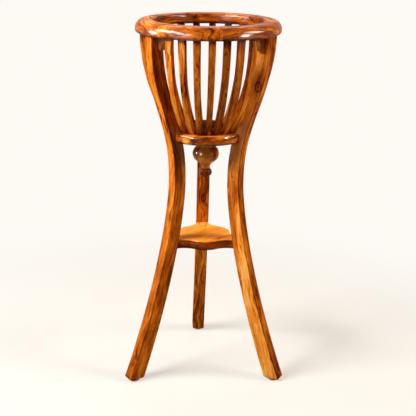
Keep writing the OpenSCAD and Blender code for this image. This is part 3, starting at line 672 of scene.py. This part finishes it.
# Darkness and swirl of the knots at marked places: rim and heart are read from the distance
# to each middle. Of several knots the darker one counts, and their swirls add up.
def knotFields(tree, marks):
    knot, swirl = 0.0, 0.0
    for centre, size in marks:
        away = calcVector(tree, "SUBTRACT", objectPlace(tree), centre)
        away = calcVector(tree, "MULTIPLY", away, (1 / size, 1 / size, knotShape["upright"] / size))
        far = lengthOf(tree, away)
        rim = calc(tree, "MULTIPLY", smoothRange(tree, far, *knotShape["rimIn"]),
                   fading(tree, far, *knotShape["rimOut"]))
        heart = fading(tree, far, *knotShape["heart"], knotShape["heartShare"])
        knot = calc(tree, "MAXIMUM", calc(tree, "MAXIMUM", rim, heart), knot)
        swirl = calc(tree, "ADD", fading(tree, far, *knotShape["swirl"]), swirl)
    return knot, swirl


# Varnished wood. Grain coordinates give the distance from a pith line beside the piece,
# sqrt(u^2 + w^2), which slow noise and knots bend into growth layers. The tone is the sum of
# broad bands and narrow streaks along that distance, dark clouds stretched along the grain and
# fine pores, less thin dark lines where a layer ends, short flecks, veins where a dark streak
# crosses a dark cloud, knots, and glue lines at joints, plus pale sapwood. It picks a colour
# from the stops. Streaks and pores also give the surface a fine relief.
def woodMaterial(name, **changes):
    v = {**wood, **changes}
    material = bpy.data.materials.new(name)
    tree, surface = blankTree(material)
    mm = wire(tree, "ShaderNodeVectorMath", {0: attributeOf(tree, "grain", 1), 3: 1000.0}, operation="SCALE")
    u, w, along = split(tree, mm)
    noise = {}
    for key, (across, lengthwise, detail, rough) in grainNoises.items():
        stretched = calcVector(tree, "MULTIPLY", mm, (across, across, lengthwise))
        noise[key] = noiseAt(tree, stretched, detail, rough)
    knot, swirl = knotFields(tree, v["marks"])
    # growth layers
    quick = calc(tree, "MULTIPLY", calc(tree, "SUBTRACT", noise["quick"], 0.5), v["quickBend"])
    bend = calc(tree, "MULTIPLY_ADD", calc(tree, "SUBTRACT", noise["slow"], 0.5), v["slowBend"], quick)
    bend = calc(tree, "MULTIPLY_ADD", swirl, v["knotBend"], bend)
    du = calc(tree, "SUBTRACT", u, v["pith"][0])
    dw = calc(tree, "SUBTRACT", w, v["pith"][1])
    squares = calc(tree, "MULTIPLY_ADD", du, du, calc(tree, "MULTIPLY", dw, dw))
    layer = calc(tree, "ADD", calc(tree, "SQRT", squares), bend)
    inBands = calc(tree, "MULTIPLY", layer, 1 / v["bandWidth"])
    inStreaks = calc(tree, "MULTIPLY", layer, 1 / v["streakWidth"])
    bandPlace = combine(tree, inBands, calc(tree, "MULTIPLY", along, v["bandRun"]), v["bandCut"])
    streakPlace = combine(tree, inStreaks, calc(tree, "MULTIPLY", along, v["streakRun"]),
                          calc(tree, "MULTIPLY", w, v["streakDrift"]))
    band = noiseAt(tree, bandPlace, *layerNoises["band"])
    streak = noiseAt(tree, streakPlace, *layerNoises["streak"])
    # their sum about the finish's own tone
    shares = ((band, v["bands"]), (noise["cloud"], v["clouds"]), (streak, v["streaks"]),
              (noise["pores"], v["pores"]))
    middle = v["tone"] - 0.5 * sum(share for field, share in shares)
    # the board attribute holds the board's tone and the piece's painted light and shade
    tone = calc(tree, "ADD", attributeOf(tree, "board"), middle)
    for field, share in shares:
        tone = calc(tree, "MULTIPLY_ADD", field, share, tone)
    # dark features and pale sapwood, whose border runs a little uneven along the grain
    fromLine = calc(tree, "PINGPONG", calc(tree, "MULTIPLY", layer, 1 / v["lineGap"]), 0.5)
    line = calc(tree, "MULTIPLY", fading(tree, fromLine, *limits["line"]),
                smoothRange(tree, noise["patch"], *limits["linePatch"]))
    fleck = smoothRange(tree, noise["fleck"], *limits["fleck"])
    vein = calc(tree, "MULTIPLY", fading(tree, streak, *limits["veinStreak"]),
                fading(tree, noise["cloud"], *limits["veinCloud"]))
    features = [(line, -v["lines"]), (fleck, -v["flecks"]), (vein, -v["veins"]), (knot, -v["knots"])]
    if v["sapwood"]:
        wander = calc(tree, "SUBTRACT", streak, 0.5)
        sap = calc(tree, "MULTIPLY_ADD", wander, v["sapWander"], attributeOf(tree, "sap"))
        features.append((smoothRange(tree, sap, *limits["sapBorder"]), v["sapwood"]))
    if v["joints"]:
        features.append((fading(tree, attributeOf(tree, "joint"), *limits["joint"]), -v["joints"]))
    for field, share in features:
        tone = calc(tree, "MULTIPLY_ADD", field, share, tone)
    ramp = tree.nodes.new("ShaderNodeValToRGB")
    tree.links.new(tone, ramp.inputs[0])
    while len(ramp.color_ramp.elements) < len(v["stops"]):
        ramp.color_ramp.elements.new(1.0)
    for element, (spot, colour) in zip(ramp.color_ramp.elements, v["stops"]):
        element.position = spot
        element.color = (*colour, 1)
    # surface
    relief = calc(tree, "ADD", calc(tree, "MULTIPLY", noise["pores"], v["poreDepth"]),
                  calc(tree, "MULTIPLY", streak, v["streakDepth"]))
    bump = wire(tree, "ShaderNodeBump", {"Strength": v["bump"], "Distance": v["bumpDepth"], "Height": relief})
    rough = smoothRange(tree, streak, *limits["rough"], v["rough"] - v["smoother"], v["rough"] + v["rougher"])
    shader = wire(tree, "ShaderNodeBsdfPrincipled", {
        "Base Color": ramp.outputs[0], "Roughness": rough, "Normal": bump, "IOR": v["woodIndex"],
        "Specular IOR Level": 0.0, "Coat Weight": v["coat"], "Coat Roughness": v["coatRough"],
        "Coat IOR": v["coatIndex"],
    })
    tree.links.new(shader, surface)
    return material


# The mottle of the plain finishes: its noise, and how it changes colour, roughness and height.
mottle = {
    "detail": 3.0, "roughness": 0.6, "colourFrom": 0.35, "colourTo": 0.65, "roughFrom": 0.3,
    "roughTo": 0.7, "smoother": 0.06, "rougher": 0.08, "bump": 0.1, "bumpDepth": 0.0002,
}


# Bare wood, metal and rubber: two colours mixed by a fine noise on object coordinates.
def plainMaterial(name, colour, other, metallic, rough, grainSize, gloss=0.5):
    m = mottle
    material = bpy.data.materials.new(name)
    tree, surface = blankTree(material)
    fine = noiseAt(tree, objectPlace(tree), m["detail"], m["roughness"], 1 / grainSize)
    tint = smoothRange(tree, fine, m["colourFrom"], m["colourTo"])
    unevenRough = smoothRange(tree, fine, m["roughFrom"], m["roughTo"], rough - m["smoother"],
                              rough + m["rougher"])
    bump = wire(tree, "ShaderNodeBump", {"Strength": m["bump"], "Distance": m["bumpDepth"], "Height": fine})
    shader = wire(tree, "ShaderNodeBsdfPrincipled", {
        "Base Color": mixColour(tree, tint, colour, other), "Roughness": unevenRough, "Normal": bump,
        "Metallic": metallic, "Specular IOR Level": gloss,
    })
    tree.links.new(shader, surface)
    return material


# Finishes by the construction's slots, and three that single pieces have of their own: the rear
# leg, the shelf and the basket's floor. Each mark is a knot's middle and radius in metres.
boardLook = {"bandWidth": 14.0, "tone": 0.40, "clouds": 1.7, "bands": 0.8}
finishes = {
    "wood_ring": woodMaterial(
        "ringWood", coat=0.33, coatRough=0.18, joints=0.05, lines=0.32, flecks=0.4, bandWidth=12.0,
        tone=0.465, clouds=0.75, bands=0.6),
    "wood_leg": woodMaterial(
        "legWood", coat=0.05, coatRough=0.3, bands=0.5, clouds=0.75, streaks=0.42, veins=0.30,
        tone=0.53, sapwood=0.20, marks=(((0.1144, -0.0839, 0.7522), 0.0075),)),
    "leg_rear": woodMaterial(
        "rearLegWood", coat=0.05, coatRough=0.3, lines=0.28, lineGap=10.0, clouds=0.6, tone=0.51,
        marks=(((0.0010, 0.0739, 0.4310), 0.0060),)),
    "wood_slat": woodMaterial(
        "slatWood", coat=0.08, coatRough=0.25, bandWidth=7.0, bands=0.55, clouds=0.75, streaks=0.38,
        tone=0.555),
    "wood_board": woodMaterial("boardWood", coat=0.32, coatRough=0.15, **boardLook),
    "board_worn": woodMaterial("boardWornWood", coat=0.03, coatRough=0.3, **boardLook),
    "shelf": woodMaterial(
        "shelfWood", coat=0.10, bandWidth=16.0, streakWidth=4.0, clouds=0.40, streaks=0.22, bands=0.40,
        lines=0.08, flecks=0.05, veins=0.0, tone=0.63),
    "wood_turned": woodMaterial(
        "turnedWood", coat=0.22, coatRough=0.08, bands=0.3, clouds=0.5, lines=0.06, tone=0.67,
        marks=(((0.0096, -0.0314, 0.5727), 0.0030),)),
    "wood_inner": plainMaterial(
        "bareWood", (0.62, 0.42, 0.22, 1), (0.50, 0.31, 0.15, 1), 0.0, 0.6, 0.002),
    "wood_block": plainMaterial(
        "blockWood", (0.26, 0.075, 0.008, 1), (0.17, 0.045, 0.004, 1), 0.0, 0.5, 0.004, 0.1),
    "brass_screw": plainMaterial(
        "screwBrass", (0.30, 0.17, 0.06, 1), (0.20, 0.11, 0.035, 1), 1.0, 0.42, 0.0015),
    "steel_nail": plainMaterial(
        "nailSteel", (0.60, 0.60, 0.60, 1), (0.42, 0.42, 0.42, 1), 1.0, 0.35, 0.0015),
    "glide_black": plainMaterial(
        "glideRubber", (0.012, 0.011, 0.010, 1), (0.022, 0.020, 0.018, 1), 0.0, 0.5, 0.002),
}


# Gives a piece the finish of that name.
def dress(piece, finish):
    piece.data.materials.clear()
    piece.data.materials.append(finishes[finish])
    return piece


# Each piece is cut from its own stretch of board, so its grain coordinates start elsewhere.
cuts = {"draw": 11, "along": (0.2, 3.0), "aside": (-0.02, 0.02)}
shuffle = np.random.default_rng(cuts["draw"])


# Where the next piece starts in its board: (0, aside, along), drawn evenly between those limits.
def nextSeed():
    along = shuffle.uniform(*cuts["along"])
    aside = shuffle.uniform(*cuts["aside"])
    return np.array([0, aside, along])


for k in range(ring["segments"]):
    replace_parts(dress(buildRingSegment(k, nextSeed()), "wood_ring"), "ring_segment_%d" % (k + 1))
print("ring built")
for name in legAngles:
    finish = "leg_rear" if name == "rear" else "wood_leg"
    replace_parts(dress(buildLeg("leg_%s_wood" % name, nextSeed()), finish), "leg_" + name)
print("legs built")
for row in ("front", "right", "left"):
    for s in range(1, slat["count"] + 1):
        node = "slat_%s_%d" % (row, s)
        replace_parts(dress(buildSlat(node + "_wood", row, s, nextSeed()), "wood_slat"), node)
print("slats built")
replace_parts(wearInside(dress(buildBase(nextSeed()), "wood_board"), finishes["board_worn"]), "basket_base")
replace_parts(dress(buildFinialBulb(nextSeed()), "wood_turned"), "finial_bulb")
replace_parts(dress(buildFinialTip(nextSeed()), "wood_turned"), "finial_tip")
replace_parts(dress(buildShelf(nextSeed()), "shelf"), "shelf")
for name in legAngles:
    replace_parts(dress(buildGlide("glide_" + name), "glide_black"), "glide_" + name)
print("base, finial, shelf and glides built")

# The joinery that stays as constructed only gets its finish.
for part in frame["record"]["subparts"]:
    node = nodes[part["node"]]
    if node.hide_render:
        continue
    if not node.material_slots:
        node.data.materials.append(finishes[part["material_slot"]])
    for materialSlot in node.material_slots:
        materialSlot.material = finishes[part["material_slot"]]
print("joinery finished")

# In a gloss the room is dim in front of the stand and bright behind it: its share grows from
# roomShare to 1 between two values of y, the floor's place in metres or the sky's direction.
studio = {
    "floorHalf": 30.0, "paper": (0.982, 0.948, 0.900, 1), "shade": (0.735, 0.715, 0.69, 1),
    "bounce": (0.30, 0.27, 0.24, 1), "shadowDepth": 0.50, "shadowReach": (0.35, 1.15),
    "roomShare": 0.08, "floorRoom": (-1.0, -0.1), "skyRoom": (-0.2, 0.7),
    "skyStrength": 0.05, "skyColour": (1.0, 0.90, 0.78, 1),
}


# How much of the pale paper a ray sees: all of it from the camera or through glass, and in a
# gloss the room's share at y, the way from front to back.
def seenShare(tree, y, room):
    rays = tree.nodes.new("ShaderNodeLightPath").outputs
    share = smoothRange(tree, y, *room, studio["roomShare"], 1.0)
    inGloss = calc(tree, "MULTIPLY", rays["Is Glossy Ray"], share)
    seen = calc(tree, "MAXIMUM", rays["Is Camera Ray"], inGloss)
    return calc(tree, "MAXIMUM", seen, rays["Is Transmission Ray"])


# The floor is a large square. Where it is seen it is the pale paper, mixed near the stand with a
# pale matt surface that takes the shadow; towards the object it is a dimmer matt one.
def buildFloor():
    half = studio["floorHalf"]
    mesh = bpy.data.meshes.new("floor")
    corners = [(-half, -half, 0), (half, -half, 0), (half, half, 0), (-half, half, 0)]
    mesh.from_pydata(corners, [], [(0, 1, 2, 3)])
    floor = bpy.data.objects.new("floor", mesh)
    bpy.context.collection.objects.link(floor)
    material = bpy.data.materials.new("floorPaper")
    tree, surface = blankTree(material)
    place = objectPlace(tree)
    shadow = fading(tree, lengthOf(tree, place), *studio["shadowReach"], studio["shadowDepth"])
    seen = seenShare(tree, split(tree, place)[1], studio["floorRoom"])
    paperShare = calc(tree, "MULTIPLY", seen, calc(tree, "SUBTRACT", 1.0, shadow))
    paper = wire(tree, "ShaderNodeEmission", {0: studio["paper"], 1: 1.0})
    matt = wire(tree, "ShaderNodeBsdfDiffuse", {0: mixColour(tree, seen, studio["bounce"], studio["shade"])})
    tree.links.new(wire(tree, "ShaderNodeMixShader", {0: paperShare, 1: matt, 2: paper}), surface)
    mesh.materials.append(material)


# The sky is the same paper where it is seen, and lights the stand softly and a little warm.
def buildSky():
    world = bpy.data.worlds.new("studioWorld")
    bpy.context.scene.world = world
    tree, surface = blankTree(world, "ShaderNodeOutputWorld")
    direction = wire(tree, "ShaderNodeTexCoord", {})
    seen = seenShare(tree, split(tree, direction)[1], studio["skyRoom"])
    soft = wire(tree, "ShaderNodeBackground", {0: studio["skyColour"], 1: studio["skyStrength"]})
    plain = wire(tree, "ShaderNodeBackground", {0: studio["paper"], 1: 1.0})
    tree.links.new(wire(tree, "ShaderNodeMixShader", {0: seen, 1: soft, 2: plain}), surface)


# Area lamps. Those with gloss light only the varnish; the others light the wood as well.
lampStart = {"gloss": False, "spread": 180}
lamps = {
    "keyLeft": {
        "place": (-1.72, -0.70, 1.98), "aim": (0, 0, 0.6), "size": (1.2, 0.35), "watts": 92,
        "colour": (1.0, 0.97, 0.90)},
    "fillRight": {
        "place": (1.95, -0.40, 1.70), "aim": (0, 0, 0.7), "size": (0.9, 0.35), "watts": 44,
        "colour": (1.0, 0.88, 0.68)},
    "topBack": {
        "place": (0.2, 1.5, 2.2), "aim": (0, 0, 0.6), "size": (1.2, 0.6), "watts": 12,
        "colour": (1.0, 0.95, 0.9)},
    "glossLeft": {
        "place": (-1.95, -0.50, 1.95), "aim": (0, 0, 0.9), "size": (1.4, 0.8), "watts": 175,
        "colour": (1.0, 0.97, 0.92), "gloss": True},
    "glossRight": {
        "place": (1.95, -0.60, 1.95), "aim": (0, 0, 0.9), "size": (1.0, 0.7), "watts": 66,
        "colour": (1.0, 0.96, 0.90), "gloss": True},
    "lowLeft": {
        "place": (-1.55, -1.50, 1.16), "aim": (0, 0, 0.575), "size": (0.6, 0.6), "watts": 0.08,
        "colour": (1.0, 0.90, 0.72), "spread": 14},
    "dotLeft": {
        "place": (-1.55, -1.50, 1.16), "aim": (0, 0, 0.575), "size": (0.6, 0.6), "watts": 46,
        "colour": (1.0, 0.97, 0.92), "gloss": True, "spread": 40},
    "dotRight": {
        "place": (1.78, -1.29, 0.95), "aim": (0, 0, 0.575), "size": (0.4, 0.4), "watts": 8,
        "colour": (1.0, 0.97, 0.92), "gloss": True, "spread": 40},
    "dotSide": {
        "place": (-2.19, 0.19, 0.90), "aim": (0, 0, 0.575), "size": (0.5, 0.5), "watts": 9,
        "colour": (1.0, 0.97, 0.92), "gloss": True, "spread": 40},
}


# A lamp turned to its aim: spin atan2(y, x) - 90 degrees about +Z, tilt atan2(level way, drop).
def buildLamp(name, lamp):
    data = bpy.data.lights.new(name, "AREA")
    data.shape = "RECTANGLE"
    data.size, data.size_y = lamp["size"]
    data.energy = lamp["watts"]
    data.color = lamp["colour"]
    data.spread = math.radians(lamp["spread"])
    light = bpy.data.objects.new(name, data)
    bpy.context.collection.objects.link(light)
    light.visible_diffuse = not lamp["gloss"]
    light.location = lamp["place"]
    way = np.array(lamp["aim"]) - np.array(lamp["place"])
    spin = math.atan2(way[1], way[0]) - math.pi / 2
    tilt = math.atan2(math.hypot(way[0], way[1]), -way[2])
    light.rotation_euler = (tilt, 0, spin)


buildFloor()
buildSky()
for name in lamps:
    buildLamp(name, {**lampStart, **lamps[name]})
print("studio lit")

# The camera, in metres and degrees; its pixels are those of the square photograph.
camera = {
    "place": (-0.1436, -2.2770, 1.1587), "pitch": 17.80, "turn": -1.87, "roll": 0.6,
    "focalPixels": 945.02, "imagePixels": 416, "shiftPixels": 30.6, "sensor": 36.0, "clip": (0.05, 100),
}
lens = bpy.data.cameras.new("camera")
lens.sensor_width = camera["sensor"]
lens.lens = camera["sensor"] * camera["focalPixels"] / camera["imagePixels"]
lens.shift_x = camera["shiftPixels"] / camera["imagePixels"]
lens.clip_start, lens.clip_end = camera["clip"]
eye = bpy.data.objects.new("camera", lens)
bpy.context.collection.objects.link(eye)
eye.matrix_world = (
    Matrix.Translation(camera["place"])
    @ Matrix.Rotation(math.radians(camera["turn"]), 4, "Z")
    @ Matrix.Rotation(math.radians(90 - camera["pitch"]), 4, "X")
    @ Matrix.Rotation(math.radians(camera["roll"]), 4, "Z")
)
bpy.context.scene.camera = eye
bpy.context.scene.view_settings.view_transform = "Standard"
print("camera set")
